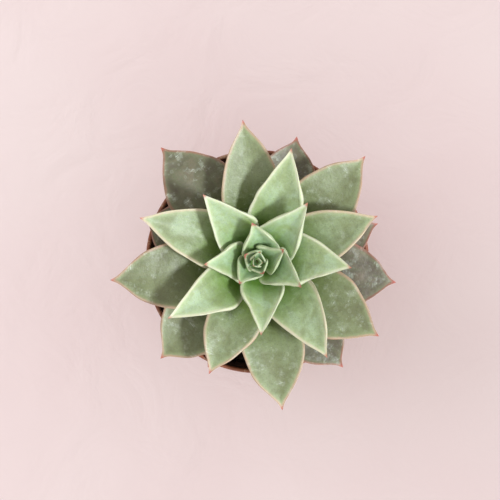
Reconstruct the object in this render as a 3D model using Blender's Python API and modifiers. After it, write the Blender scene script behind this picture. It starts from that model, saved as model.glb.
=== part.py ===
"""A potted succulent: a rosette of thick pointed leaves on a short stem, in a thin round nursery pot of soil.

The frame stands on the pot's foot: the origin is the middle of the pot's underside, +Z is up, and the stem's axis
is the Z axis. Leaves are numbered from the oldest, at the bottom of the rosette, to the newest, in its heart.
Lengths are in metres and angles in degrees.
"""

import math
from collections import namedtuple

import bmesh
import bpy
from mathutils import Vector
from mathutils.bvhtree import BVHTree

MM = 0.001

# Pot: a tapered wall with a collar at its mouth, standing on a foot ring and a central pad.
POT_HEIGHT = 66 * MM
MOUTH_RADIUS = 42.5 * MM
FOOT_RADIUS = 28.5 * MM
WALL = 1.0 * MM
LIP = 1.5 * MM
COLLAR_HEIGHT = 9 * MM
COLLAR_STEP = 1.3 * MM
FOOT_RING_WIDTH = 4 * MM
CHANNEL_HEIGHT = 2.6 * MM
PAD_RADIUS = 9 * MM
DRAIN_RADIUS = 3 * MM
DRAIN_COUNT = 6
POT_STEPS = 48

# Soil: what the pot holds, with a socket for the root.
HEADSPACE = 11 * MM
SOIL_CROWN = 1.2 * MM
SOIL_STEPS = 32

# Stem: the core that the leaf bases leave, and the root under it.
STEM_RADIUS = 5.2 * MM
ROOT_DEPTH = 24 * MM
STEM_STEPS = 16
STEM_SLICE = 1.5 * MM

# What touches keeps this much air, so that no two solids share space.
GAP = 0.3 * MM

# Leaves leave the stem one after another, this far round it each time: close to the golden angle.
DIVERGENCE = 138.5
FIRST_AZIMUTH = 245
LEAF_THICKNESS = 0.19
UPPER_SHARE = 0.15
LEAF_SIDES = 12
TIP_HALF_WIDTH = 0.37 * MM

# A leaf from stem to tip: share of its length, its width there when old and when young, and its thickness there, as
# shares of the fullest. An old leaf is widest past its middle; a young one narrows evenly to its tip.
STATIONS = (
    (0.00, 0.00, 0.00, 0.00),
    (0.02, 0.40, 0.34, 0.40),
    (0.10, 0.52, 0.50, 0.60),
    (0.24, 0.75, 0.82, 0.86),
    (0.38, 0.93, 1.00, 1.00),
    (0.52, 1.00, 0.84, 1.00),
    (0.64, 0.96, 0.61, 0.88),
    (0.74, 0.80, 0.42, 0.70),
    (0.83, 0.55, 0.27, 0.48),
    (0.90, 0.28, 0.16, 0.28),
    (0.94, 0.13, 0.10, 0.13),
    (1.00, 0.00, 0.00, 0.00),
)

# Each leaf, oldest first. turn: degrees off the even spiral. reach: mm from the axis to its tip, seen from above.
# width: mm across its widest place, round its cup. bend: mm that its middle bows anticlockwise, seen from above.
LeafSize = namedtuple("LeafSize", "turn reach width bend")
LEAVES = (
    LeafSize(0, 44.5, 21.0, 0.0),
    LeafSize(-6, 48.0, 23.5, 0.0),
    LeafSize(-3, 46.0, 26.0, 0.0),
    LeafSize(8.5, 51.5, 26.5, -0.8),
    LeafSize(-6.5, 49.5, 25.0, -2.0),
    LeafSize(7.5, 51.5, 27.5, -0.5),
    LeafSize(-4.5, 52.5, 26.5, 0.0),
    LeafSize(-4.3, 56.0, 28.0, -1.2),
    LeafSize(6.5, 56.0, 24.5, 0.5),
    LeafSize(-7, 56.0, 25.5, -1.5),
    LeafSize(-3, 55.0, 27.5, 1.2),
    LeafSize(0, 52.5, 28.0, 0.3),
    LeafSize(-11, 52.5, 24.0, -0.5),
    LeafSize(1, 45.0, 22.5, 0.4),
    LeafSize(-3, 47.0, 22.5, 0.0),
    LeafSize(-3, 46.0, 22.5, -1.8),
    LeafSize(5, 43.0, 22.0, 2.0),
    LeafSize(-6, 43.0, 21.5, -1.2),
    LeafSize(-6, 38.5, 18.5, 0.9),
    LeafSize(0, 34.0, 21.0, 2.3),
    LeafSize(-6, 31.5, 18.5, -0.6),
    LeafSize(-1, 26.5, 17.0, 1.4),
    LeafSize(-2, 28.0, 18.5, -0.6),
    LeafSize(-8, 19.5, 16.0, -0.3),
    LeafSize(1, 18.2, 16.5, 1.5),
    LeafSize(-9, 14.5, 15.5, -1.8),
    LeafSize(-16, 10.5, 12.5, -1.0),
    LeafSize(2, 10.7, 13.0, -0.7),
    LeafSize(-12, 5.6, 10.0, 0.0),
    LeafSize(-8, 4.8, 8.5, 0.0),
    LeafSize(1, 4.0, 6.6, 0.0),
    LeafSize(0, 2.2, 4.8, 0.0),
    LeafSize(0, 1.8, 3.8, 0.0),
)


def clear_scene():
    for obj in list(bpy.data.objects):
        bpy.data.objects.remove(obj)


def make_collection(name):
    collection = bpy.data.collections.new(name)
    bpy.context.scene.collection.children.link(collection)
    return collection


def make_material(name, colour, roughness, metallic=0.0):
    material = bpy.data.materials.new(name)
    material.use_nodes = True
    shader = material.node_tree.nodes["Principled BSDF"]
    shader.inputs["Base Color"].default_value = (*colour, 1.0)
    shader.inputs["Roughness"].default_value = roughness
    shader.inputs["Metallic"].default_value = metallic
    return material


def add_object(name, mesh, collection, material=None, crease=40):
    obj = bpy.data.objects.new(name, mesh)
    collection.objects.link(obj)
    if material:
        mesh.materials.append(material)
        mesh.shade_smooth()
        mesh.set_sharp_from_angle(angle=math.radians(crease))
    return obj


def turned(name, profile, steps, collection, material):
    """A solid of revolution about Z. The profile is (radius, height) points that end by running down the outside."""
    mesh = bpy.data.meshes.new(name)
    points = [(radius, 0, height) for radius, height in profile]
    mesh.from_pydata(points, [(i, i + 1) for i in range(len(points) - 1)], [])
    obj = add_object(name, mesh, collection)
    screw = obj.modifiers.new("turn", "SCREW")
    screw.steps = screw.render_steps = steps
    screw.use_merge_vertices = True
    screw.merge_threshold = 0.00001
    mesh.materials.append(material)
    return obj


def solid_mesh(obj):
    """The object's mesh with its modifiers worked in."""
    graph = bpy.context.evaluated_depsgraph_get()
    return bpy.data.meshes.new_from_object(obj.evaluated_get(graph))


# ---------------------------------------------------------------- pot


def wall_radius(height):
    """The outer radius of the pot's tapered wall, from its foot to the underside of its collar."""
    collar_foot = POT_HEIGHT - COLLAR_HEIGHT
    top_radius = MOUTH_RADIUS - COLLAR_STEP
    return FOOT_RADIUS + (top_radius - FOOT_RADIUS) * height / collar_foot


def pot_profile():
    collar_foot = POT_HEIGHT - COLLAR_HEIGHT
    ring_inside = FOOT_RADIUS - FOOT_RING_WIDTH
    floor = CHANNEL_HEIGHT + WALL
    inside = [
        (0, WALL),
        (PAD_RADIUS - WALL, WALL),
        (PAD_RADIUS - WALL, floor),
        (wall_radius(floor) - WALL, floor),
        (wall_radius(collar_foot) - WALL, collar_foot),
        (MOUTH_RADIUS - LIP, collar_foot + 1.5 * WALL),
        (MOUTH_RADIUS - LIP, POT_HEIGHT - 0.4 * LIP),
        (MOUTH_RADIUS - 0.7 * LIP, POT_HEIGHT),
    ]
    outside = [
        (MOUTH_RADIUS - 0.3 * LIP, POT_HEIGHT),
        (MOUTH_RADIUS, POT_HEIGHT - 0.4 * LIP),
        (MOUTH_RADIUS, collar_foot + 0.4 * WALL),
        (MOUTH_RADIUS - 0.3 * WALL, collar_foot),
        (wall_radius(collar_foot), collar_foot),
        (wall_radius(0.8 * WALL), 0.8 * WALL),
        (FOOT_RADIUS - 0.8 * WALL, 0),
        (ring_inside, 0),
        (ring_inside, CHANNEL_HEIGHT),
        (PAD_RADIUS, CHANNEL_HEIGHT),
        (PAD_RADIUS, 0),
        (0, 0),
    ]
    return inside + outside


def make_pot(parts, cutters, material):
    pot = turned("pot", pot_profile(), POT_STEPS, parts, material)
    ring_radius = (PAD_RADIUS + FOOT_RADIUS - FOOT_RING_WIDTH) / 2
    for i in range(DRAIN_COUNT):
        angle = 2 * math.pi * i / DRAIN_COUNT
        bpy.ops.mesh.primitive_cylinder_add(
            vertices=16,
            radius=DRAIN_RADIUS,
            depth=6 * WALL,
            location=(ring_radius * math.cos(angle), ring_radius * math.sin(angle), CHANNEL_HEIGHT + WALL / 2),
        )
        drill = bpy.context.object
        drill.name = f"drain_drill_{i + 1}"
        drill.hide_render = True
        drill.display_type = "WIRE"
        drill.users_collection[0].objects.unlink(drill)
        cutters.objects.link(drill)
        cut = pot.modifiers.new(drill.name, "BOOLEAN")
        cut.operation = "DIFFERENCE"
        cut.object = drill
    return pot


# ---------------------------------------------------------------- soil


def soil_level():
    return POT_HEIGHT - HEADSPACE


def make_soil(parts, material):
    """One body of soil. It stops a gap short of the pot's wall and floor, and of the root in its socket."""
    bottom = CHANNEL_HEIGHT + WALL + GAP
    level = soil_level()
    socket = STEM_RADIUS + GAP
    root_end = level - ROOT_DEPTH - GAP
    profile = [
        (0, root_end),
        (0.3 * socket, root_end + 0.5 * GAP),
        (0.75 * socket, root_end + 0.55 * ROOT_DEPTH),
        (socket, level - 0.1 * ROOT_DEPTH),
        (socket, level + SOIL_CROWN),
        (2.5 * socket, level + 0.8 * SOIL_CROWN),
        (wall_radius(level) - WALL - 4 * GAP, level),
        (wall_radius(level) - WALL - GAP, level - 2 * GAP),
        (wall_radius(bottom) - WALL - GAP, bottom),
        (0, bottom),
    ]
    return turned("soil", profile, SOIL_STEPS, parts, material)


# ---------------------------------------------------------------- leaves


def age_of(index):
    """0 for the oldest leaf, 1 for the newest."""
    return index / (len(LEAVES) - 1)


def midrib(index, size):
    """The leaf's midrib, in its own upright plane: points (distance from the axis, height) and slopes, by station."""
    age = age_of(index)
    foot = (STEM_RADIUS + GAP) * (1 - 0.93 * age**2.2)
    chord = 3 + 75 * age**1.6
    start_slope = math.radians(min(84, chord + 16))
    end_slope = math.radians(chord - 10 + 4 * age)
    run = size.reach * MM - foot
    rise = run * math.tan(math.radians(chord))
    third = math.hypot(run, rise) / 3
    base = Vector((foot, 0))
    tip = Vector((foot + run, rise))
    lead_out = base + third * Vector((math.cos(start_slope), math.sin(start_slope)))
    lead_in = tip - third * Vector((math.cos(end_slope), math.sin(end_slope)))
    points = []
    for share, *_ in STATIONS:
        back = 1 - share
        place = back**3 * base + 3 * back**2 * share * lead_out + 3 * back * share**2 * lead_in + share**3 * tip
        along = back**2 * (lead_out - base) + 2 * back * share * (lead_in - lead_out) + share**2 * (tip - lead_in)
        points.append((place, along.normalized()))
    return points


def in_section(half_width, across, through, wrap, fold):
    """How far a point of a leaf's section lies sideways and up from its midrib.

    across runs from -1 to 1 between the margins, along the section's middle line, and through is how far the point
    stands off that line. The line is partly a round cup and partly two flat halves that meet in a fold at the midrib.
    """
    half = 0 if abs(across) < 0.01 else math.copysign(1, across)
    round_x, round_z = math.sin(wrap * across) / wrap, (1 - math.cos(wrap * across)) / wrap
    flat_x, flat_z = across * math.cos(wrap / 2), abs(across) * math.sin(wrap / 2)
    lean = (1 - fold) * wrap * across + fold * half * wrap / 2
    sideways = half_width * ((1 - fold) * round_x + fold * flat_x) - through * math.sin(lean)
    upwards = half_width * ((1 - fold) * round_z + fold * flat_z) + through * math.cos(lean)
    return sideways, upwards


def leaf_mesh(index, size):
    """A sphere drawn out along the midrib: its poles are the leaf's foot and its tip."""
    azimuth = math.radians(FIRST_AZIMUTH + DIVERGENCE * index + size.turn)
    outward = Vector((math.cos(azimuth), math.sin(azimuth), 0))
    side = Vector((-outward.y, outward.x, 0))
    skyward = Vector((0, 0, 1))
    age = age_of(index)
    wrap = math.radians(18 + 46 * age**2)
    fold = 0.2 + 0.6 * age
    grown = max(0.0, min(1.0, 1.35 - 1.9 * age))
    rib = midrib(index, size)
    rings = len(STATIONS) - 1
    ball = bmesh.new()
    bmesh.ops.create_uvsphere(ball, u_segments=LEAF_SIDES, v_segments=rings, radius=1)
    for vertex in ball.verts:
        polar = math.acos(max(-1, min(1, vertex.co.z)))
        station = rings - round(polar / math.pi * rings)
        around = math.atan2(vertex.co.y, vertex.co.x)
        share, old_width, young_width, thickness_share = STATIONS[station]
        half_width = size.width * MM * (grown * old_width + (1 - grown) * young_width) / 2
        if 0 < station < rings:
            half_width = max(half_width, TIP_HALF_WIDTH)
        layer = UPPER_SHARE if vertex.co.y > 0 else 1 - UPPER_SHARE
        through = layer * LEAF_THICKNESS * size.width * MM * thickness_share * math.sin(around)
        if station in (0, rings):
            through = 0
        sideways, upwards = in_section(half_width, math.cos(around), through, wrap, fold)
        sideways += size.bend * MM * 4 * share * (1 - share)
        place, along = rib[station]
        up = along.x * skyward - along.y * outward
        vertex.co = place.x * outward + place.y * skyward + sideways * side + upwards * up
    mesh = bpy.data.meshes.new(f"leaf_{index + 1:02d}")
    ball.to_mesh(mesh)
    ball.free()
    return mesh


def surface_tree(meshes):
    """One searchable surface from several meshes in their places, and points spread along all of their edges."""
    points = []
    faces = []
    spread = []
    for mesh in meshes:
        first = len(points)
        points += [vertex.co.copy() for vertex in mesh.vertices]
        faces += [[first + i for i in polygon.vertices] for polygon in mesh.polygons]
        for edge in mesh.edges:
            start, end = (points[first + i] for i in edge.vertices)
            spread += [start.lerp(end, share) for share in (0.0, 0.25, 0.5, 0.75, 1.0)]
    return BVHTree.FromPolygons(points, faces), spread


def lift_to_clear(mesh, settled):
    """How far a leaf rises from its place to rest a gap above everything that settled before it."""
    below, below_points = surface_tree(settled)
    leaf, leaf_points = surface_tree([mesh])
    far = 1.0
    lift = -far
    for point in leaf_points:
        hit = below.ray_cast(Vector((point.x, point.y, far)), Vector((0, 0, -1)))[0]
        if hit:
            lift = max(lift, hit.z - point.z)
    for point in below_points:
        hit = leaf.ray_cast(Vector((point.x, point.y, -far)), Vector((0, 0, 1)))[0]
        if hit:
            lift = max(lift, point.z - hit.z)
    return lift + GAP


def make_leaves(parts, material, settled):
    """Lays the leaves from the bottom up: each comes down round the stem until it rests on what lies under it."""
    leaves = []
    for index, size in enumerate(LEAVES):
        mesh = leaf_mesh(index, size)
        lift = lift_to_clear(mesh, settled)
        for vertex in mesh.vertices:
            vertex.co.z += lift
        settled.append(mesh)
        leaves.append(add_object(mesh.name, mesh, parts, material, crease=60))
    return leaves


# ---------------------------------------------------------------- stem


def stem_profile(leaves):
    """The stem fills the heart of the rosette up to its growing point, a gap inside the leaves' feet."""
    spread = surface_tree([leaf.data for leaf in leaves])[1]
    reaches = [(point.z, math.hypot(point.x, point.y)) for point in spread]
    lowest = min(height for height, _ in reaches)
    top = []
    height = lowest
    radius = STEM_RADIUS
    while True:
        near = [reach for level, reach in reaches if abs(level - height) < STEM_SLICE * 1.5]
        radius = min([radius] + [reach - 1.3 * GAP for reach in near])
        if radius < 0.12 * STEM_RADIUS or not near:
            break
        top.append((radius, height))
        height += STEM_SLICE
    top.append((0, height - 0.5 * STEM_SLICE))
    level = soil_level()
    root = [
        (STEM_RADIUS, level + SOIL_CROWN),
        (STEM_RADIUS, level - 0.1 * ROOT_DEPTH),
        (0.75 * STEM_RADIUS, level - 0.45 * ROOT_DEPTH),
        (0.3 * STEM_RADIUS, level - ROOT_DEPTH),
        (0, level - ROOT_DEPTH),
    ]
    return top[::-1] + root


def main():
    clear_scene()
    parts = make_collection("potted_succulent")
    cutters = make_collection("cutters")
    plastic = make_material("pot_plastic", (0.33, 0.13, 0.06), 0.55)
    earth = make_material("soil", (0.035, 0.02, 0.013), 0.95)
    bark = make_material("stem_bark", (0.16, 0.10, 0.06), 0.85)
    flesh = make_material("leaf_flesh", (0.30, 0.42, 0.22), 0.6)
    pot = make_pot(parts, cutters, plastic)
    make_soil(parts, earth)
    leaves = make_leaves(parts, flesh, [solid_mesh(pot)])
    turned("stem", stem_profile(leaves), STEM_STEPS, parts, bark)


main()
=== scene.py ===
"""Looks of the potted succulent: waxy rosette leaves, a scarred stem, crumbly soil and a moulded nursery pot.

Every piece is built in place round the object's own solids, in metres, with +Z up.
"""

import math
import random

import bmesh
import bpy
import numpy as np
from mathutils import Matrix, Vector, noise


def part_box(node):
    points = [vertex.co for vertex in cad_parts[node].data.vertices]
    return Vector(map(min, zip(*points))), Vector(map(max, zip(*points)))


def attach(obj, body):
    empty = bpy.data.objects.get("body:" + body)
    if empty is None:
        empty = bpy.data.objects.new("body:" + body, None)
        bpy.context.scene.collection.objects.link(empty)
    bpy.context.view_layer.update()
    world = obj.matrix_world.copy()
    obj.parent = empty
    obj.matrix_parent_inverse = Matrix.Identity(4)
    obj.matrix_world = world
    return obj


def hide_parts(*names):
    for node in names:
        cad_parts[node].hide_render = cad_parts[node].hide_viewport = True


MM = 0.001

# How finely the leaves are drawn between the rings of their cages.
LEAF_ROWS_PER_RING = 6
LEAF_COLUMNS_PER_SIDE = 5

# Shifts of each leaf's youth from its place in the order of growth, below zero older and above zero younger.
# They are partly weathering and partly painted light and shade: leaves that the lamp falls on full are pushed
# darker, and leaves lying in shadow paler.
AGE_AND_PAINTED_LIGHT_SHIFTS = {
    5: -0.05,
    6: 0.14,
    7: -0.15,
    8: -0.1,
    9: 0.09,
    10: 0.03,
    11: -0.03,
    12: -0.04,
    13: -0.04,
    14: -0.04,
    15: -0.03,
    18: 0.04,
}

# Relief of a leaf as wide as FULL_LEAF_WIDTH or wider. A narrower leaf has less of it.
FULL_LEAF_WIDTH = 18 * MM
MARGIN_BEAD_HEIGHT = 0.22 * MM
CHANNEL_DEPTH = 0.35 * MM
WAVE_HEIGHT = 0.35 * MM
MARGIN_RIPPLE_HEIGHT = 1.1 * MM

STEM_STEPS = 72
STEM_ROWS = 90
SCAR_SPACING = 1.9 * MM
SCAR_DEPTH = 0.28 * MM

POT_STEPS = 144
DRAIN_HOLES = 6

SOIL_STEPS = 144
SOIL_RINGS = 46
SOIL_DIP = 1.2 * MM
CRUMB_COUNT = 900
GRIT_COUNT = 60
FIBRE_COUNT = 140
FIBRE_RINGS = 8
FIBRE_SIDES = 5

CAMERA_ABOVE_RIM = 700 * MM
CAMERA_ASIDE = (-2.8 * MM, 4.4 * MM)
CAMERA_LENS = 132.5


def hue(red, green, blue):
    """A colour from 0 to 255 steps, as it looks on a screen, made linear."""
    shares = (red / 255, green / 255, blue / 255)
    return (*(s / 12.92 if s <= 0.04045 else ((s + 0.055) / 1.055) ** 2.4 for s in shares), 1.0)


# ---------------------------------------------------------------- shader building


def add(tree, kind, wires=None, **settings):
    """A new shader node. Its wires are values or other nodes' outputs, by socket name or number."""
    made = tree.nodes.new(kind)
    for name, value in settings.items():
        setattr(made, name, value)
    for name, value in (wires or {}).items():
        if isinstance(value, bpy.types.NodeSocket):
            tree.links.new(value, made.inputs[name])
        else:
            made.inputs[name].default_value = value
    return made


def maths(tree, operation, first, second=0.0, clamp=False):
    return add(tree, "ShaderNodeMath", {0: first, 1: second}, operation=operation, use_clamp=clamp).outputs[0]


def vector_maths(tree, operation, wires):
    return add(tree, "ShaderNodeVectorMath", wires, operation=operation).outputs[0]


def product(tree, first, *others):
    for other in others:
        first = maths(tree, "MULTIPLY", first, other)
    return first


def plus(tree, first, second, clamp=False):
    return maths(tree, "ADD", first, second, clamp)


def minus(tree, first, second):
    return maths(tree, "SUBTRACT", first, second)


def blended(tree, amount, under, over):
    """Colour over laid on colour under, by amount."""
    return add(tree, "ShaderNodeMix", {0: amount, 6: under, 7: over}, data_type="RGBA").outputs[2]


def between(tree, value, low, high, bottom=0.0, top=1.0):
    """A smooth step of value from bottom at low to top at high."""
    step = add(
        tree,
        "ShaderNodeMapRange",
        {"Value": value, "From Min": low, "From Max": high, "To Min": bottom, "To Max": top},
        interpolation_type="SMOOTHSTEP",
    )
    return step.outputs["Result"]


def cloud(tree, where, scale, detail=3.0, roughness=0.5, distortion=0.0):
    """Soft noise from 0 to 1."""
    wires = {"Vector": where, "Scale": scale, "Detail": detail}
    wires |= {"Roughness": roughness, "Distortion": distortion}
    return add(tree, "ShaderNodeTexNoise", wires).outputs["Fac"]


def stretched(tree, where, scale, turn=0.0):
    """Coordinates stretched by scale along each axis, then turned about Z by turn in degrees."""
    wires = {"Vector": where, "Scale": scale, "Rotation": (0, 0, math.radians(turn))}
    return add(tree, "ShaderNodeMapping", wires).outputs["Vector"]


def ramp(tree, amount, stops):
    """A colour ramp from (place, colour) stops."""
    made = add(tree, "ShaderNodeValToRGB", {"Fac": amount})
    elements = made.color_ramp.elements
    while len(elements) < len(stops):
        elements.new(1.0)
    for element, (place, colour) in zip(elements, stops):
        element.position = place
        element.color = colour
    return made.outputs["Color"]


def in_millimetres(tree):
    """The place on the object, in mm from its origin."""
    place = add(tree, "ShaderNodeTexCoord").outputs["Object"]
    return vector_maths(tree, "SCALE", {0: place, "Scale": 1 / MM})


def measure(tree, name):
    """A number that the mesh carries at each point."""
    return add(tree, "ShaderNodeAttribute", attribute_name=name).outputs["Fac"]


def effect(name, takes, gives):
    """An empty node group: (group, its inputs by name, its output node).

    takes are (name, type, usual value), and gives are (name, type).
    """
    group = bpy.data.node_groups.new(name, "ShaderNodeTree")
    for socket, kind, usual in takes:
        made = group.interface.new_socket(socket, in_out="INPUT", socket_type=kind)
        if usual is not None:
            made.default_value = usual
    for socket, kind in gives:
        group.interface.new_socket(socket, in_out="OUTPUT", socket_type=kind)
    return group, group.nodes.new("NodeGroupInput").outputs, group.nodes.new("NodeGroupOutput")


def placed(tree, group, **values):
    """The group's node in a material. Values name its inputs, with _ for a space."""
    wires = {name.replace("_", " "): value for name, value in values.items()}
    return add(tree, "ShaderNodeGroup", wires, node_tree=group).outputs


FLOAT, VECTOR = "NodeSocketFloat", "NodeSocketVector"


def mottle_effect():
    """Soft uneven patches on two scales, from 0 to 1 with 0.5 as their middle."""
    takes = [("Where", VECTOR, None), ("Patch Size", FLOAT, 5.0), ("Contrast", FLOAT, 1.0)]
    group, has, out = effect("mottle", takes, [("Patches", FLOAT)])
    scale = maths(group, "DIVIDE", 1.0, has["Patch Size"])
    broad = cloud(group, has["Where"], scale, 2.0, 0.5, 0.6)
    fine = cloud(group, has["Where"], product(group, scale, 3.7), 4.0, 0.6)
    both = plus(group, product(group, broad, 0.65), product(group, fine, 0.35))
    spread = product(group, minus(group, both, 0.5), has["Contrast"], 2.2)
    group.links.new(plus(group, spread, 0.5, clamp=True), out.inputs["Patches"])
    return group


def scuff_effect():
    """Thin pale scratches along the first axis, in three layers, broken up so that they come in clusters."""
    takes = [("Where", VECTOR, None), ("Spacing", FLOAT, 4.0), ("Amount", FLOAT, 0.5)]
    group, has, out = effect("scuffs", takes, [("Marks", FLOAT)])
    scale = maths(group, "DIVIDE", 1.0, has["Spacing"])
    strokes = 0.3
    for turn, stretch in ((18, (0.7, 6.5, 1.0)), (-52, (0.9, 8.0, 1.0)), (81, (0.6, 5.5, 1.0))):
        grain = cloud(group, stretched(group, has["Where"], stretch, turn), scale, 2.0, 0.55, 0.4)
        strokes = maths(group, "MAXIMUM", strokes, between(group, grain, 0.6, 0.68))
    patch = cloud(group, has["Where"], product(group, scale, 0.55), 4.0, 0.65)
    edge = minus(group, 0.78, product(group, has["Amount"], 0.3))
    where_worn = between(group, patch, edge, plus(group, edge, 0.14))
    group.links.new(product(group, strokes, where_worn), out.inputs["Marks"])
    return group


def residue_effect():
    """Dried droplets: small pale discs with a stronger rim, here and there."""
    takes = [("Where", VECTOR, None), ("Droplet Size", FLOAT, 2.0), ("Amount", FLOAT, 0.5)]
    group, has, out = effect("dried_droplets", takes, [("Rings", FLOAT), ("Film", FLOAT)])
    scale = maths(group, "DIVIDE", 1.0, has["Droplet Size"])
    warp = add(group, "ShaderNodeTexNoise", {"Vector": has["Where"], "Scale": scale, "Detail": 2.0})
    bent = vector_maths(group, "SUBTRACT", {0: warp.outputs["Color"], 1: (0.5, 0.5, 0.5)})
    bent = vector_maths(group, "SCALE", {0: bent, "Scale": 0.9})
    place = vector_maths(group, "ADD", {0: has["Where"], 1: bent})
    cell = add(group, "ShaderNodeTexVoronoi", {"Vector": place, "Scale": scale, "Randomness": 1.0})
    split = add(group, "ShaderNodeSeparateColor", {"Color": cell.outputs["Color"]})
    size = between(group, split.outputs["Red"], 0.0, 1.0, 0.16, 0.42)
    reach = maths(group, "DIVIDE", cell.outputs["Distance"], size)
    inside = between(group, reach, 0.9, 1.05, 1.0, 0.0)
    rim = product(group, inside, between(group, reach, 0.55, 0.92))
    chosen = maths(group, "LESS_THAN", split.outputs["Green"], product(group, has["Amount"], 0.7))
    group.links.new(product(group, rim, chosen), out.inputs["Rings"])
    group.links.new(product(group, inside, chosen), out.inputs["Film"])
    return group


def new_material(name):
    """(material, its tree, its Principled shader)"""
    material = bpy.data.materials.new(name)
    material.use_nodes = True
    tree = material.node_tree
    return material, tree, tree.nodes["Principled BSDF"]


def finish_with(tree, shader, colour, roughness, height, depth):
    """Wires colour, roughness and a bump of the given depth in metres into the shader."""
    tree.links.new(colour, shader.inputs["Base Color"])
    tree.links.new(roughness, shader.inputs["Roughness"])
    bump = add(tree, "ShaderNodeBump", {"Height": height, "Distance": depth, "Strength": 1.0})
    tree.links.new(bump.outputs["Normal"], shader.inputs["Normal"])


# ---------------------------------------------------------------- finishes


def leaf_skin(mottle, scuffs, droplets):
    """Waxy leaf skin. Young leaves are fresh green with cream margins. Old ones are dull, brown and marked."""
    material, tree, shader = new_material("leaf_skin")
    skin = add(tree, "ShaderNodeAttribute", attribute_name="skin_mm").outputs["Vector"]
    youth = measure(tree, "youth")
    along = measure(tree, "along")
    edge = measure(tree, "from_margin")
    tip = measure(tree, "from_tip")
    upper = measure(tree, "upper")
    patches = placed(tree, mottle, Where=skin, Patch_Size=8.0, Contrast=1.1)["Patches"]
    freckles = placed(tree, mottle, Where=skin, Patch_Size=1.5, Contrast=1.0)["Patches"]
    streaks = cloud(tree, stretched(tree, skin, (0.8, 0.11, 1.0)), 1.0, 4.0, 0.6)

    # Flesh: dull brown-green on the oldest leaves, fresh green on the youngest, with painted shade at the foot.
    uneven = product(tree, minus(tree, patches, 0.5), 0.2)
    flesh = ramp(
        tree,
        plus(tree, youth, uneven, clamp=True),
        [
            (0.00, hue(76, 60, 50)),
            (0.16, hue(84, 82, 54)),
            (0.30, hue(98, 102, 55)),
            (0.45, hue(108, 116, 52)),
            (0.60, hue(126, 142, 62)),
            (0.80, hue(118, 152, 80)),
            (1.00, hue(96, 138, 68)),
        ],
    )
    # Painted shade: a deep saturated green towards each leaf's foot, standing for the shade and the light
    # through the leaves where they crowd together.
    painted_foot_shade = product(
        tree,
        between(tree, along, 0.1, 0.68, 1.0, 0.0),
        between(tree, youth, 0.2, 0.6, 0.35, 0.95),
        between(tree, youth, 0.72, 0.92, 1.0, 0.5),
    )
    flesh = blended(tree, painted_foot_shade, flesh, hue(88, 134, 36))
    veins = between(tree, streaks, 0.45, 0.72, 0.0, 0.42)
    flesh = blended(tree, veins, flesh, hue(84, 94, 54))
    brown = product(tree, between(tree, youth, 0.03, 0.36, 0.55, 0.0), between(tree, patches, 0.45, 0.85))
    flesh = blended(tree, brown, flesh, hue(104, 74, 62))

    # Bloom: a pale wax that is thin at the foot and on the old leaves.
    bloom = product(
        tree,
        between(tree, patches, 0.2, 0.8, 0.5, 1.0),
        between(tree, freckles, 0.1, 0.9, 0.82, 1.0),
        between(tree, along, 0.2, 0.66, 0.06, 1.0),
        between(tree, youth, 0.18, 0.6, 0.1, 0.58),
    )
    flesh = blended(tree, bloom, flesh, hue(182, 204, 186))
    specks = placed(tree, mottle, Where=skin, Patch_Size=0.5, Contrast=1.4)["Patches"]
    specks = product(tree, between(tree, specks, 0.55, 0.95), between(tree, youth, 0.3, 0.7, 0.4, 0.2))
    flesh = blended(tree, specks, flesh, hue(78, 82, 48))
    halo = product(tree, between(tree, edge, 0.6, 3.4, 1.0, 0.0), between(tree, youth, 0.15, 0.55, 0.12, 0.34))
    flesh = blended(tree, halo, flesh, hue(190, 204, 158))
    underside = product(tree, minus(tree, 1.0, upper), 0.4)
    flesh = blended(tree, underside, flesh, hue(160, 172, 138))

    # Margin and tip: a cream line with a pink edge, and a red point.
    wander = product(tree, minus(tree, streaks, 0.5), 0.9)
    soft = between(tree, youth, 0.55, 0.85, 0.0, 0.4)
    margin = product(
        tree,
        between(tree, plus(tree, edge, wander), minus(tree, 0.5, soft), plus(tree, soft, 1.5), 1.0, 0.0),
        between(tree, freckles, 0.0, 0.6, 0.6, 0.9),
        between(tree, youth, 0.6, 0.9, 1.0, 0.5),
    )
    cream = ramp(
        tree,
        youth,
        [
            (0.00, hue(122, 84, 72)),
            (0.22, hue(150, 118, 98)),
            (0.42, hue(190, 172, 148)),
            (0.60, hue(200, 204, 180)),
        ],
    )
    flesh = blended(tree, margin, flesh, cream)
    blush = product(
        tree,
        between(tree, edge, 0.15, 0.6, 1.0, 0.0),
        between(tree, patches, 0.3, 0.7, 0.2, 1.0),
        between(tree, youth, 0.2, 0.5, 0.4, 0.0),
    )
    flesh = blended(tree, blush, flesh, hue(172, 100, 86))
    from_point = plus(tree, tip, product(tree, freckles, 0.8))
    from_point = minus(tree, from_point, between(tree, youth, 0.6, 0.95, 0.0, 1.5))
    red_tip = between(tree, from_point, 0.8, 2.8, 0.85, 0.0)
    flesh = blended(tree, red_tip, flesh, hue(166, 76, 74))

    # Wear on the upper face: rubbed wax and dried water, more on the old leaves.
    age = between(tree, youth, 0.2, 0.66, 1.0, 0.12)
    marks = placed(tree, scuffs, Where=skin, Spacing=3.0, Amount=0.8)["Marks"]
    marks = product(tree, marks, age, 0.62)
    spots = placed(tree, droplets, Where=skin, Droplet_Size=2.2, Amount=0.5)
    film = product(tree, plus(tree, spots["Rings"], product(tree, spots["Film"], 0.9)), age, 0.05)
    worn = product(tree, plus(tree, marks, film, clamp=True), upper)
    flesh = blended(tree, worn, flesh, hue(214, 224, 214))

    rough = plus(tree, between(tree, freckles, 0.0, 1.0, 0.38, 0.5), product(tree, bloom, 0.15))
    relief = plus(tree, product(tree, patches, 0.7), product(tree, freckles, 0.12))
    relief = minus(tree, relief, product(tree, marks, 0.25))
    finish_with(tree, shader, flesh, rough, relief, 0.3 * MM)
    shader.inputs["Subsurface Weight"].default_value = 0.14
    shader.inputs["Subsurface Radius"].default_value = (0.7, 1.0, 0.25)
    shader.inputs["Subsurface Scale"].default_value = 1.2 * MM
    return material


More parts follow.
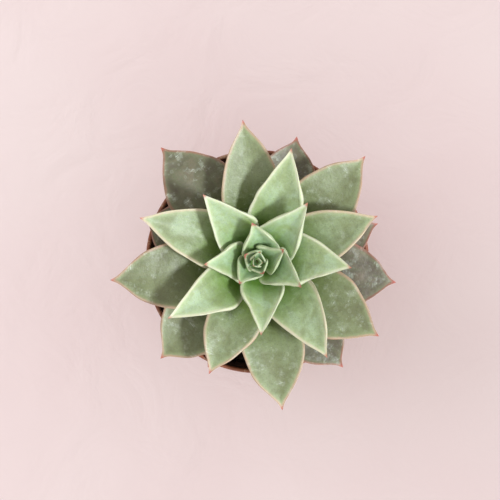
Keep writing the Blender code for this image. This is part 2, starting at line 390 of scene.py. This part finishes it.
def pot_plastic(mottle, scuffs, droplets):
    """Terracotta-brown moulded plastic: satin, scuffed, with lime left by watering near the mouth and a dark
    inside.
    """
    material, tree, shader = new_material("pot_plastic")
    mm = in_millimetres(tree)
    height = add(tree, "ShaderNodeSeparateXYZ", {"Vector": mm}).outputs["Z"]
    inside = measure(tree, "inside")
    patches = placed(tree, mottle, Where=mm, Patch_Size=14.0, Contrast=1.1)["Patches"]
    crust = placed(tree, mottle, Where=mm, Patch_Size=2.4, Contrast=1.5)["Patches"]
    marks = placed(tree, scuffs, Where=mm, Spacing=9.0, Amount=0.8)["Marks"]
    spots = placed(tree, droplets, Where=mm, Droplet_Size=6.0, Amount=0.35)

    colour = ramp(tree, patches, [(0.0, hue(126, 68, 44)), (0.5, hue(134, 74, 49)), (1.0, hue(143, 82, 56))])
    near_mouth = plus(tree, product(tree, between(tree, height, 54.0, 66.0), 0.4), 0.05)
    lime = product(tree, between(tree, crust, 0.62, 0.95), near_mouth)
    colour = blended(tree, lime, colour, hue(206, 182, 158))
    film = product(tree, plus(tree, spots["Rings"], product(tree, spots["Film"], 0.4)), 0.1)
    colour = blended(tree, film, colour, hue(196, 160, 134))
    colour = blended(tree, product(tree, marks, 0.22), colour, hue(190, 146, 120))
    # The inside of the wall is darkened almost to the colour of the soil, and made rougher.
    darkened_inside = product(tree, inside, between(tree, crust, 0.2, 0.8, 0.72, 0.97))
    colour = blended(tree, darkened_inside, colour, hue(52, 33, 24))
    foot_dust = product(tree, between(tree, height, 0.0, 9.0, 0.5, 0.0), between(tree, crust, 0.3, 0.8))
    colour = blended(tree, foot_dust, colour, hue(112, 84, 64))

    rough = plus(tree, between(tree, patches, 0.0, 1.0, 0.42, 0.56), product(tree, lime, 0.3))
    rough = plus(tree, rough, product(tree, darkened_inside, 0.35), clamp=True)
    orange_peel = cloud(tree, mm, 2.4, 2.0, 0.5)
    relief = plus(tree, product(tree, orange_peel, 0.12), product(tree, lime, 0.5))
    relief = minus(tree, relief, product(tree, marks, 0.2))
    finish_with(tree, shader, colour, rough, relief, 0.2 * MM)
    return material


def peat(name, mottle, dark, light, grain):
    """Damp peat and bark in two tones. grain is the size of its crumbs in mm."""
    material, tree, shader = new_material(name)
    mm = in_millimetres(tree)
    broad = placed(tree, mottle, Where=mm, Patch_Size=6.0, Contrast=1.2)["Patches"]
    fine = placed(tree, mottle, Where=mm, Patch_Size=grain, Contrast=1.6)["Patches"]
    both = plus(tree, product(tree, broad, 0.4), product(tree, fine, 0.6))
    colour = ramp(tree, both, [(0.15, dark), (0.62, light), (0.95, hue(104, 78, 58))])
    rough = between(tree, fine, 0.0, 1.0, 0.78, 0.98)
    finish_with(tree, shader, colour, rough, fine, 0.5 * MM)
    return material


def grit_stone(mottle):
    """Pale pumice and perlite, pitted and dusted with peat."""
    material, tree, shader = new_material("grit_stone")
    mm = in_millimetres(tree)
    pits = placed(tree, mottle, Where=mm, Patch_Size=0.5, Contrast=1.8)["Patches"]
    dust = placed(tree, mottle, Where=mm, Patch_Size=2.0, Contrast=1.6)["Patches"]
    colour = ramp(tree, pits, [(0.1, hue(120, 98, 80)), (0.6, hue(176, 156, 132)), (1.0, hue(204, 190, 170))])
    colour = blended(tree, between(tree, dust, 0.35, 0.75, 0.0, 0.8), colour, hue(70, 50, 38))
    finish_with(tree, shader, colour, between(tree, pits, 0.0, 1.0, 0.9, 0.75), pits, 0.3 * MM)
    return material


def stem_bark(mottle, scuffs):
    """Dry corky bark with darker scars where old leaves came away."""
    material, tree, shader = new_material("stem_bark")
    mm = in_millimetres(tree)
    height = add(tree, "ShaderNodeSeparateXYZ", {"Vector": mm}).outputs["Z"]
    scar = measure(tree, "scar")
    flattened = stretched(tree, mm, (1.0, 1.0, 2.6))
    cork = placed(tree, mottle, Where=flattened, Patch_Size=1.6, Contrast=1.6)["Patches"]
    cracks = placed(tree, scuffs, Where=mm, Spacing=2.2, Amount=1.0)["Marks"]
    colour = ramp(tree, cork, [(0.1, hue(86, 62, 46)), (0.55, hue(132, 104, 80)), (1.0, hue(168, 144, 116))])
    colour = blended(tree, product(tree, scar, 0.7), colour, hue(74, 52, 40))
    colour = blended(tree, product(tree, cracks, 0.6), colour, hue(54, 38, 30))
    colour = blended(tree, between(tree, height, 66.0, 74.0, 0.0, 0.8), colour, hue(120, 142, 84))
    relief = minus(tree, cork, product(tree, cracks, 0.7))
    finish_with(tree, shader, colour, between(tree, cork, 0.0, 1.0, 0.8, 0.95), relief, 0.4 * MM)
    return material


def backdrop_paper():
    """Pale, faintly creased paper for the stage."""
    material, tree, shader = new_material("backdrop_paper")
    place = add(tree, "ShaderNodeTexCoord").outputs["Object"]
    tone = cloud(tree, place, 9.0, 2.0, 0.5)
    colour = ramp(tree, tone, [(0.2, hue(239, 221, 226)), (0.8, hue(246, 234, 238))])
    creases = cloud(tree, place, 34.0, 4.0, 0.55, 0.8)
    finish_with(tree, shader, colour, between(tree, creases, 0.0, 1.0, 0.85, 0.95), creases, 1.2 * MM)
    return material


# ---------------------------------------------------------------- mesh building


def add_piece(name, mesh, material, stands_for, smooth=True):
    """A finished piece of the object: it gets its material and rides with the object's one body."""
    piece = bpy.data.objects.new(name, mesh)
    bpy.context.scene.collection.objects.link(piece)
    mesh.materials.append(material)
    if smooth:
        mesh.shade_smooth()
    if stands_for:
        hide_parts(*stands_for)
    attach(piece, "root")


def give_numbers(mesh, name, values):
    """Stores one number, or one vector, for each point of the mesh."""
    values = np.asarray(values, np.float32)
    kind, field = ("FLOAT_VECTOR", "vector") if values.ndim == 2 else ("FLOAT", "value")
    mesh.attributes.new(name, kind, "POINT").data.foreach_set(field, values.ravel())


def curve_through(knots, points, at):
    """The smooth curve through points, which stand at knots, read at each of at."""
    slopes = np.gradient(points, knots, axis=0)
    span = np.clip(np.searchsorted(knots, at, side="right") - 1, 0, len(knots) - 2)
    column = (-1,) + (1,) * (points.ndim - 1)
    width = (knots[span + 1] - knots[span]).reshape(column)
    share = (at - knots[span]).reshape(column) / width
    rest = 1 - share
    start = (1 + 2 * share) * rest**2 * points[span] + share * rest**2 * slopes[span] * width
    end = share**2 * (3 - 2 * share) * points[span + 1] - share**2 * rest * slopes[span + 1] * width
    return start + end


def tube_mesh(name, grid):
    """A closed skin from rows of points: each row is a ring, and the first and last rows shrink to a point."""
    rows, columns = grid.shape[:2]
    body = grid[1:-1].reshape(-1, 3)
    points = [tuple(p) for p in body] + [tuple(grid[0, 0]), tuple(grid[-1, 0])]
    first, last = len(points) - 2, len(points) - 1
    faces = []
    for column in range(columns):
        beside = (column + 1) % columns
        faces.append((first, beside, column))
        for row in range(rows - 3):
            here = row * columns
            faces.append((here + column, here + beside, here + columns + beside, here + columns + column))
        end = (rows - 3) * columns
        faces.append((last, end + column, end + beside))
    mesh = bpy.data.meshes.new(name)
    mesh.from_pydata(points, [], faces)
    return mesh


# ---------------------------------------------------------------- leaves


def cage_of(node):
    """The rings of points that a leaf's solid is built on, from its foot to its tip.

    Each ring starts at the leaf's anticlockwise margin and goes over the upper face first. The foot and the
    tip are rings too, with all of their points in one place. A ring that lost a point near a tiny tip is
    left out.
    """
    places = {}
    number = [places.setdefault(tuple(round(c, 7) for c in v.co), len(places)) for v in node.data.vertices]
    points = np.array(list(places))
    beside = [set() for _ in points]
    for edge in node.data.edges:
        a, b = (number[i] for i in edge.vertices)
        if a != b:
            beside[a].add(b)
            beside[b].add(a)
    poles = sorted(range(len(points)), key=lambda i: -len(beside[i]))[:2]
    foot, tip = sorted(poles, key=lambda i: points[i][2])
    sides = len(beside[foot])
    rings = []
    seen = {foot}
    level = beside[foot]
    while tip not in level:
        if len(level) == sides:
            ring = [min(level)]
            while len(ring) < sides:
                ring.append(min(i for i in beside[ring[-1]] & level if i not in ring))
            rings.append(ring)
        seen |= level
        level = set().union(*(beside[i] for i in level)) - seen

    middle = len(rings) // 2
    rings[middle] = started_at_margin(points, rings[middle], points[tip] - points[foot])
    for k in range(middle + 1, len(rings)):
        rings[k] = lined_up(points, rings[k], rings[k - 1])
    for k in range(middle - 1, -1, -1):
        rings[k] = lined_up(points, rings[k], rings[k + 1])
    return np.array([[points[foot]] * sides, *(points[ring] for ring in rings), [points[tip]] * sides])


def started_at_margin(points, ring, along):
    """The ring started at its anticlockwise margin and run over the top.

    The margins are its two sharpest corners.
    """
    sides = len(ring)
    place = points[ring]
    to_next = np.roll(place, -1, axis=0) - place
    to_next /= np.linalg.norm(to_next, axis=1)[:, None]
    sharpness = -(to_next * np.roll(to_next, 1, axis=0)).sum(axis=1)
    pairs = sharpness[: sides // 2] + sharpness[sides // 2 :]
    start = int(np.argmax(pairs))
    across = place[start] - place[start - sides // 2]
    outward = np.array([along[0], along[1], 0])
    anticlockwise = np.array([-outward[1], outward[0], 0])
    if across @ anticlockwise < 0:
        start = (start + sides // 2) % sides
        across = -across
    quarter = sides // 4
    over = place[(start + quarter) % sides] - place[(start - quarter) % sides]
    step = 1 if over @ np.cross(along, across) > 0 else -1
    return [ring[(start + step * i) % sides] for i in range(sides)]


def lined_up(points, ring, beside):
    """The ring turned and run so that its points stand opposite those of the ring beside it."""

    def shape(order):
        place = points[order] - points[order].mean(axis=0)
        return place / np.sqrt((place**2).sum())

    wanted = shape(beside)
    ways = [(ring[i:] + ring[:i])[::step] for i in range(len(ring)) for step in (1, -1)]
    return min(ways, key=lambda order: ((shape(order) - wanted) ** 2).sum())


def leaf_grid(cage):
    """The cage drawn finely: rows of points round the leaf, and how far each row is from foot to tip."""
    sides = cage.shape[1]
    loop = np.concatenate([cage[:, -3:], cage, cage[:, :4]], axis=1)
    turns = np.arange(sides * LEAF_COLUMNS_PER_SIDE) / LEAF_COLUMNS_PER_SIDE
    fine = curve_through(np.arange(-3.0, sides + 4), np.moveaxis(loop, 1, 0), turns)
    fine = np.moveaxis(fine, 0, 1)
    centres = cage.mean(axis=1)
    knots = np.concatenate([[0], np.cumsum(np.linalg.norm(np.diff(centres, axis=0), axis=1))])
    knots /= knots[-1]
    rows = len(knots) - 1
    steps = np.arange(rows * LEAF_ROWS_PER_RING + 1) / LEAF_ROWS_PER_RING
    at = np.interp(steps, np.arange(rows + 1), knots)
    grid = curve_through(knots, fine, at)
    grid[0], grid[-1] = cage[0, 0], cage[-1, 0]
    return grid, at, 2 * math.pi * turns / sides


def skin_normals(grid):
    """Outward directions of a leaf's skin at each point of its grid."""
    along = np.gradient(grid, axis=0)
    around = np.roll(grid, -1, axis=1) - np.roll(grid, 1, axis=1)
    normal = np.cross(around, along)
    length = np.linalg.norm(normal, axis=2, keepdims=True)
    return normal / np.maximum(length, 1e-12)


def waves_on(grid):
    """Slow waves over a leaf's skin, from -1 to 1."""
    return np.array([[noise.noise(Vector(p) * 110) for p in row] for row in grid])


def margin_ripple(along, across, number):
    """Waves from -1 to 1 that run along each margin on its own and die out towards the midrib."""
    margins = [[noise.noise(Vector((a * 5.5, side, number * 3.1))) for side in (9.0, 2.0)] for a in along]
    return np.array(margins)[:, np.where(across > 0, 0, 1)] * np.abs(across[None, :]) ** 3


def make_leaf(node, youth, number, material):
    """A leaf's skin drawn over its solid, with a raised margin, a shallow channel and the waves of its age."""
    grid, along, around = leaf_grid(cage_of(node))
    opposite = len(around) // 2
    across = np.cos(around)
    on_top = np.sin(around) > 0
    width = np.linalg.norm(grid[:, 0] - grid[:, opposite], axis=1)
    scale = np.clip(width.max() / FULL_LEAF_WIDTH, 0.15, 1.0)

    bead = np.exp(-(((np.abs(across) - 0.93) / 0.055) ** 2)) * on_top
    channel = np.cos(across * math.pi / 2) ** 2 * on_top
    lift = (MARGIN_BEAD_HEIGHT * bead - CHANNEL_DEPTH * channel)[None, :]
    lift = lift + waves_on(grid) * WAVE_HEIGHT * (1.2 - youth)
    lift = lift + margin_ripple(along, across, number) * MARGIN_RIPPLE_HEIGHT
    blade = np.clip((width / width.max()) * 1.6 - 0.3, 0, 1)[:, None]
    grid = grid + skin_normals(grid) * (lift * blade * scale)[:, :, None]

    margins = grid[:, [0, opposite]]
    from_margin = np.linalg.norm(grid[:, :, None] - margins[:, None], axis=3).min(axis=2)
    centre = grid.mean(axis=1)
    travelled = np.concatenate([[0], np.cumsum(np.linalg.norm(np.diff(centre, axis=0), axis=1))])
    face = np.where(np.sin(around) >= 0, 0.0, 40.0)
    skin = np.stack(
        [
            across[None, :] * width[:, None] / 2 / MM,
            np.repeat(travelled[:, None] / MM, len(around), axis=1),
            np.repeat(number * 17.0 + face[None, :], len(grid), axis=0),
        ],
        axis=2,
    )
    mesh = tube_mesh(f"leaf_{number:02d}_skin", grid)

    def carried(values):
        values = np.broadcast_to(values, grid.shape[:2] + values.shape[2:])
        return np.concatenate([values[1:-1].reshape(-1, *values.shape[2:]), values[:1, 0], values[-1:, 0]])

    give_numbers(mesh, "skin_mm", carried(skin))
    give_numbers(mesh, "along", carried(along[:, None]))
    give_numbers(mesh, "from_margin", carried(from_margin / MM / math.sqrt(scale)))
    give_numbers(mesh, "from_tip", carried((travelled[-1] - travelled)[:, None] / MM / scale))
    give_numbers(mesh, "upper", carried(np.clip(0.5 + 1.6 * np.sin(around), 0, 1)[None, :]))
    give_numbers(mesh, "youth", carried(np.full((1, 1), youth)))
    add_piece(mesh.name, mesh, material, [node.name])


def make_leaves(nodes, material):
    """Every leaf, oldest first, with its youth from 0 for the oldest to 1 for the newest."""
    names = sorted(name for name in nodes if name.startswith("leaf_"))
    for i, name in enumerate(names):
        # The shift from the table is partly painted light and shade, set per leaf against how the lamp falls on
        # it.
        youth = i / (len(names) - 1) + AGE_AND_PAINTED_LIGHT_SHIFTS.get(i + 1, 0)
        make_leaf(nodes[name], youth, i + 1, material)


# ---------------------------------------------------------------- turned pieces


def arc(centre, radius, start, end, steps):
    """Points of an arc in a profile, from angle start to end in degrees."""
    turns = [math.radians(start + (end - start) * i / steps) for i in range(steps + 1)]
    return [(centre[0] + radius * math.cos(t), centre[1] + radius * math.sin(t)) for t in turns]


def turned_mesh(name, profile, steps):
    """A closed profile of (radius, height), from the axis back to the axis, turned about Z."""
    shape = bmesh.new()
    rings = []
    for radius, height in profile:
        if radius < 1e-6:
            rings.append([shape.verts.new((0, 0, height))])
        else:
            turns = [2 * math.pi * i / steps for i in range(steps)]
            rings.append([shape.verts.new((radius * math.cos(t), radius * math.sin(t), height)) for t in turns])
    for inner, outer in zip(rings, rings[1:]):
        for i in range(steps):
            j = (i + 1) % steps
            corners = [inner[k % len(inner)] for k in (i, j)] + [outer[k % len(outer)] for k in (j, i)]
            shape.faces.new(list(dict.fromkeys(corners)))
    bmesh.ops.recalc_face_normals(shape, faces=shape.faces)
    mesh = bpy.data.meshes.new(name)
    shape.to_mesh(mesh)
    shape.free()
    return mesh


def make_pot(material):
    """The pot: a tapered wall with a rolled collar, a foot ring, and drain holes in a raised channel."""
    mouth, height = (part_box("pot")[1][i] / MM for i in (0, 2))
    foot, wall, lip, collar, step = 28.5, 1.0, 1.5, 9.0, 1.3
    ring, channel, pad = 4.0, 2.6, 9.0
    hole_below, hole_above = 3.25, 2.9
    seat = height - collar
    top = mouth - step

    def wall_at(level):
        return foot + (top - foot) * level / seat

    floor = channel + wall
    profile = [(0, wall), (pad - wall - 0.5, wall)]
    profile += arc((pad - wall - 0.5, wall + 0.5), 0.5, -90, 0, 3)
    profile += arc((pad - wall + 0.5, floor - 0.5), 0.5, 180, 90, 3)
    profile += arc((wall_at(floor) - wall - 1.6, floor + 1.6), 1.6, -90, -12, 5)
    levels = [8, 14, 20, 26, 32, 38, 44, 50, seat - 1.5]
    profile += [(wall_at(level) - wall, level) for level in levels]
    profile += [(wall_at(seat) - wall, seat), (mouth - lip - 0.25, seat + 1.3), (mouth - lip, seat + 2.2)]
    profile += [(mouth - lip, height - 1.6)]
    profile += arc((mouth - lip / 2, height - lip / 2), lip / 2, 180, 0, 10)
    profile += [(mouth, height - 1.6), (mouth, height - 4), (mouth - 0.12, seat + 1.2)]
    profile += arc((mouth - 0.62, seat + 0.5), 0.5, 0, -90, 4)
    profile += [(wall_at(seat) + 0.35, seat)]
    profile += arc((wall_at(seat) + 0.35, seat - 0.35), 0.35, 90, 180, 3)
    profile += [(wall_at(level), level) for level in reversed(levels[:-1])]
    profile += [(wall_at(3), 3)]
    profile += arc((foot - 0.9, 0.9), 0.9, 10, -90, 5)
    profile += arc((foot - ring + 0.4, 0.4), 0.4, -90, -180, 3)
    profile += [(foot - ring, channel - 0.3), (foot - ring - 0.3, channel)]
    profile += [(pad + 0.3, channel), (pad, channel - 0.3)]
    profile += arc((pad - 0.4, 0.4), 0.4, 0, -90, 3)
    profile += [(3.2, 0), (2.8, 0.35), (1.1, 0.4), (0.9, 0.15), (0, 0.15)]
    mesh = turned_mesh("pot_shell", [(r * MM, h * MM) for r, h in profile], POT_STEPS)
    pot = bpy.data.objects.new("pot_blank", mesh)
    bpy.context.scene.collection.objects.link(pot)
    drills = []
    spread = (pad + foot - ring) / 2 * MM
    for i in range(DRAIN_HOLES):
        turn = 2 * math.pi * i / DRAIN_HOLES
        bpy.ops.mesh.primitive_cone_add(
            vertices=40,
            radius1=hole_below * MM,
            radius2=hole_above * MM,
            depth=6 * wall * MM,
            location=(spread * math.cos(turn), spread * math.sin(turn), (channel + wall / 2) * MM),
        )
        drills.append(bpy.context.object)
        cut = pot.modifiers.new("drain", "BOOLEAN")
        cut.operation = "DIFFERENCE"
        cut.object = drills[-1]
    graph = bpy.context.evaluated_depsgraph_get()
    mesh = bpy.data.meshes.new_from_object(pot.evaluated_get(graph))
    for spent in [*drills, pot]:
        bpy.data.objects.remove(spent)
    radii = np.array([math.hypot(v.co.x, v.co.y) / MM for v in mesh.vertices])
    heights = np.array([v.co.z / MM for v in mesh.vertices])
    lining = np.where(heights < seat, wall_at(heights) - 0.5 * wall, mouth - 0.75 * lip)
    inside = (radii < lining) & (heights > floor - 0.3) & (heights < height - 0.9)
    give_numbers(mesh, "inside", inside.astype(float))
    add_piece("pot_shell", mesh, material, ["pot"])
    mesh.set_sharp_from_angle(angle=math.radians(38))


def make_stem(material):
    """The stem under the rosette, ringed with the scars of shed leaves, and the top of its root."""
    low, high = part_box("stem")
    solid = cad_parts["stem"].data
    seen = np.array([[math.hypot(v.co.x, v.co.y), v.co.z] for v in solid.vertices])
    levels = np.unique(np.round(seen[:, 1], 6))
    radii = np.array([seen[np.abs(seen[:, 1] - level) < 2e-6, 0].max() for level in levels])
    heights = np.linspace(low.z, high.z, STEM_ROWS)
    profile = np.interp(heights, levels, radii) + 0.2 * MM
    turns = 2 * math.pi * np.arange(STEM_STEPS) / STEM_STEPS
    grid = np.zeros((STEM_ROWS, STEM_STEPS, 3))
    scars = np.zeros((STEM_ROWS, STEM_STEPS))
    for i, level in enumerate(heights):
        for j, turn in enumerate(turns):
            spiral = (level / SCAR_SPACING + turn / (2 * math.pi) * 3) % 1.0
            scars[i, j] = math.exp(-(((spiral - 0.5) / 0.16) ** 2))
            rough = noise.noise(Vector((math.cos(turn) * 2.2, math.sin(turn) * 2.2, level * 900)))
            radius = profile[i] * (1 + 0.05 * rough) - SCAR_DEPTH * scars[i, j] * (profile[i] > 2 * MM)
            grid[i, j] = (radius * math.cos(turn), radius * math.sin(turn), level)
    grid[0] = (0, 0, low.z)
    grid[-1] = (0, 0, high.z)
    mesh = tube_mesh("stem_bark", grid)
    give_numbers(mesh, "scar", np.concatenate([scars[1:-1].ravel(), [0, 0]]))
    add_piece("stem_bark", mesh, material, ["stem"])


# ---------------------------------------------------------------- soil


def soil_height(x, y):
    """How far the soil's surface stands above its smooth crown, in metres, at a point in metres."""
    broad = noise.noise(Vector((x, y, 0.3)) * 90)
    lumps = noise.noise(Vector((x, y, 1.7)) * 320)
    fine = noise.noise(Vector((x, y, 4.1)) * 900)
    return (0.7 * broad + 0.55 * lumps + 0.28 * fine) * MM


def make_soil(material):
    """The body of soil, with a lumpy top that dips to the pot's wall: (its radius, the height of its crown)."""
    low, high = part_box("soil")
    rim = high.x
    crown = high.z - 0.5 * MM
    profile = [(0, low.z), (24 * MM, low.z), (28.2 * MM, low.z), (29.2 * MM, low.z + 4 * MM)]
    profile += [(rim - 0.6 * MM, crown - 2.2 * MM), (rim - 0.5 * MM, crown - 1.5 * MM)]
    for i in range(1, SOIL_RINGS):
        share = 1 - i / SOIL_RINGS
        profile.append(((rim - 0.8 * MM) * share, crown - SOIL_DIP * share**2))
    profile.append((0, crown))
    mesh = turned_mesh("soil_body", profile, SOIL_STEPS)
    for vertex in mesh.vertices:
        if vertex.co.z > crown - 2 * MM:
            vertex.co.z += soil_height(vertex.co.x, vertex.co.y)
    add_piece("soil_body", mesh, material, ["soil"])
    return rim, crown


def scatter(name, count, sizes, seed, material, rim, crown, make_grain):
    """Many grains dropped on the soil, joined in one piece."""
    chance = random.Random(seed)
    points, faces = [], []
    for _ in range(count):
        size = chance.uniform(*sizes) * MM
        reach = math.sqrt(chance.uniform(0.03, 1)) * (rim - 1.2 * MM - size)
        turn = chance.uniform(0, 2 * math.pi)
        x, y = reach * math.cos(turn), reach * math.sin(turn)
        z = crown - SOIL_DIP * (reach / rim) ** 2 + soil_height(x, y) + 0.15 * size
        pose = Matrix.Translation((x, y, z))
        pose @= Matrix.Rotation(chance.uniform(0, 2 * math.pi), 4, "Z")
        pose @= Matrix.Rotation(chance.uniform(-0.6, 0.6), 4, "X")
        grain_points, grain_faces = make_grain(chance, size)
        faces += [[len(points) + i for i in face] for face in grain_faces]
        points += [pose @ point for point in grain_points]
    mesh = bpy.data.meshes.new(name)
    mesh.from_pydata(points, [], faces)
    add_piece(name, mesh, material, [], smooth=False)


def ball_of_faces():
    """Points and faces of a small ball, half a unit in radius."""
    ball = bmesh.new()
    bmesh.ops.create_icosphere(ball, subdivisions=2, radius=0.5)
    points = [vertex.co.copy() for vertex in ball.verts]
    faces = [[vertex.index for vertex in face.verts] for face in ball.faces]
    ball.free()
    return points, faces


BALL_POINTS, BALL_FACES = ball_of_faces()


def lump(chance, size):
    """A rough crumb or stone."""
    offset = Vector((chance.uniform(-9, 9), chance.uniform(-9, 9), chance.uniform(-9, 9)))
    squash = Vector((chance.uniform(0.8, 1.3), chance.uniform(0.7, 1.1), chance.uniform(0.5, 0.85))) * size
    return [p * squash * (1 + 0.55 * noise.noise(p * 2.6 + offset)) for p in BALL_POINTS], BALL_FACES


def fibre(chance, length):
    """A thin bent strand of bark or root, from a run of small rings."""
    thickness = chance.uniform(0.12, 0.3) * MM
    bend = chance.uniform(-0.35, 0.35)
    rise = 0.1 * length * chance.random()
    turns = [2 * math.pi * k / FIBRE_SIDES for k in range(FIBRE_SIDES)]
    last = FIBRE_RINGS - 1
    points, faces = [], []
    for i in range(FIBRE_RINGS):
        share = i / last
        centre = Vector(((share - 0.5) * length, bend * length * (0.25 - (share - 0.5) ** 2), rise * share))
        radius = thickness / 2 * (1 - 0.7 * abs(share - 0.5))
        points += [centre + radius * Vector((0, math.cos(t), math.sin(t))) for t in turns]
    for i in range(last):
        for k in range(FIBRE_SIDES):
            here = FIBRE_SIDES * i + k
            beside = FIBRE_SIDES * i + (k + 1) % FIBRE_SIDES
            faces.append((here, beside, beside + FIBRE_SIDES, here + FIBRE_SIDES))
    faces.append(range(FIBRE_SIDES - 1, -1, -1))
    faces.append(range(FIBRE_SIDES * last, FIBRE_SIDES * FIBRE_RINGS))
    return points, faces


# ---------------------------------------------------------------- stage


def make_stage():
    """The plain floor that the pot stands on."""
    bpy.ops.mesh.primitive_plane_add(size=30, location=(0, 0, 0))
    floor = bpy.context.object
    floor.name = "backdrop"
    floor.data.materials.append(backdrop_paper())
    return floor


def add_light(name, place, aim, size, watts, colour):
    """A round soft light at place, turned to aim."""
    data = bpy.data.lights.new(name, "AREA")
    data.shape = "DISK"
    data.size = size
    data.energy = watts
    data.color = colour
    light = bpy.data.objects.new(name, data)
    light.location = place
    light.rotation_euler = (Vector(place) - Vector(aim)).to_track_quat("Z", "Y").to_euler()
    bpy.context.scene.collection.objects.link(light)
    return light


def make_lights(floor):
    """A window to the right that models the plant, a wash over the floor, and an even bright room."""
    aim = (0, 0, 0.08)
    window = add_light("window", (0.89, -0.38, 1.37), aim, size=0.26, watts=27.0, colour=(0.93, 0.98, 1.0))
    far_wall = add_light("far_wall", (-1.1, 0.5, 0.9), aim, size=1.4, watts=5.5, colour=(1.0, 0.96, 0.94))
    pieces = [thing for thing in bpy.context.scene.objects if thing.type == "MESH" and thing is not floor]
    for light, lit in ((window, pieces), (far_wall, [floor])):
        receivers = bpy.data.collections.new(f"lit_by_{light.name}")
        for thing in lit:
            receivers.objects.link(thing)
        light.light_linking.receiver_collection = receivers
    world = bpy.data.worlds.new("soft_room")
    bpy.context.scene.world = world
    world.use_nodes = True
    background = world.node_tree.nodes["Background"]
    background.inputs["Color"].default_value = (1.0, 0.955, 0.9, 1.0)
    background.inputs["Strength"].default_value = 0.9
    bpy.context.scene.view_settings.view_transform = "Standard"


def make_camera():
    """Straight above the pot, a little to one side of its middle."""
    data = bpy.data.cameras.new("overhead")
    data.lens = CAMERA_LENS
    camera = bpy.data.objects.new("overhead", data)
    camera.location = (*CAMERA_ASIDE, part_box("pot")[1].z + CAMERA_ABOVE_RIM)
    bpy.context.scene.collection.objects.link(camera)
    bpy.context.scene.camera = camera


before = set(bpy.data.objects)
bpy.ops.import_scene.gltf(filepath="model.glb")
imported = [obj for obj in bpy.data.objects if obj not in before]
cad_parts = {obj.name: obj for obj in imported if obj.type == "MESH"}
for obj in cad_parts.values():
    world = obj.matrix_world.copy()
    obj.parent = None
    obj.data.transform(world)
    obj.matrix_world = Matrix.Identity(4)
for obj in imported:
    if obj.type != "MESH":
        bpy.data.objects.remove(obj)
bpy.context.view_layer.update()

mottle, scuffs, droplets = mottle_effect(), scuff_effect(), residue_effect()
make_leaves(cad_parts, leaf_skin(mottle, scuffs, droplets))
make_pot(pot_plastic(mottle, scuffs, droplets))
make_stem(stem_bark(mottle, scuffs))
peat_body = peat("peat_body", mottle, hue(24, 15, 11), hue(48, 33, 25), 0.8)
peat_crumbs = peat("peat_crumbs", mottle, hue(34, 22, 16), hue(66, 46, 34), 1.1)
soil_rim, soil_crown = make_soil(peat_body)
scatter("soil_crumbs", CRUMB_COUNT, (0.7, 2.6), 7, peat_crumbs, soil_rim, soil_crown, lump)
scatter("soil_grit", GRIT_COUNT, (0.6, 1.9), 11, grit_stone(mottle), soil_rim, soil_crown, lump)
scatter("soil_fibres", FIBRE_COUNT, (2.5, 8.0), 13, peat_crumbs, soil_rim, soil_crown, fibre)
make_lights(make_stage())
make_camera()
